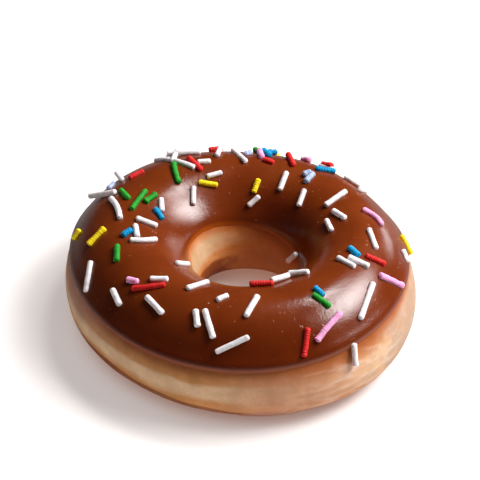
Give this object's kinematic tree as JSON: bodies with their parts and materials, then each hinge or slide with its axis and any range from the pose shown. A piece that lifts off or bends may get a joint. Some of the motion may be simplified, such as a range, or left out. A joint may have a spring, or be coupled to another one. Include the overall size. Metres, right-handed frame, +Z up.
{
  "type": "iced ring doughnut with sprinkles",
  "caption": "Round yeast-raised ring doughnut with a hole, coated on top with glossy chocolate icing and strewn with coloured rod sprinkles.",
  "frame": {"origin": "middle of the underside, on the surface that the doughnut stands on", "axes": "+Z up along the hole, -Y towards the side that the picture shows as its front, +X to the right of that view"},
  "size_m": [0.0924, 0.0914, 0.0304],
  "materials": {
    "dough": "soft fried dough, matt with a faint sugar glaze",
    "icing": "glossy set chocolate icing",
    "sprinkle_white": "satin sugar",
    "sprinkle_red": "satin sugar",
    "sprinkle_green": "satin sugar",
    "sprinkle_yellow": "satin sugar",
    "sprinkle_blue": "satin sugar",
    "sprinkle_pink": "satin sugar",
    "sprinkle_pale_blue": "satin sugar"
  },
  "bodies": {
    "root": {"dough_ring": "dough", "chocolate_icing": "icing"}
  },
  "joints": []
}
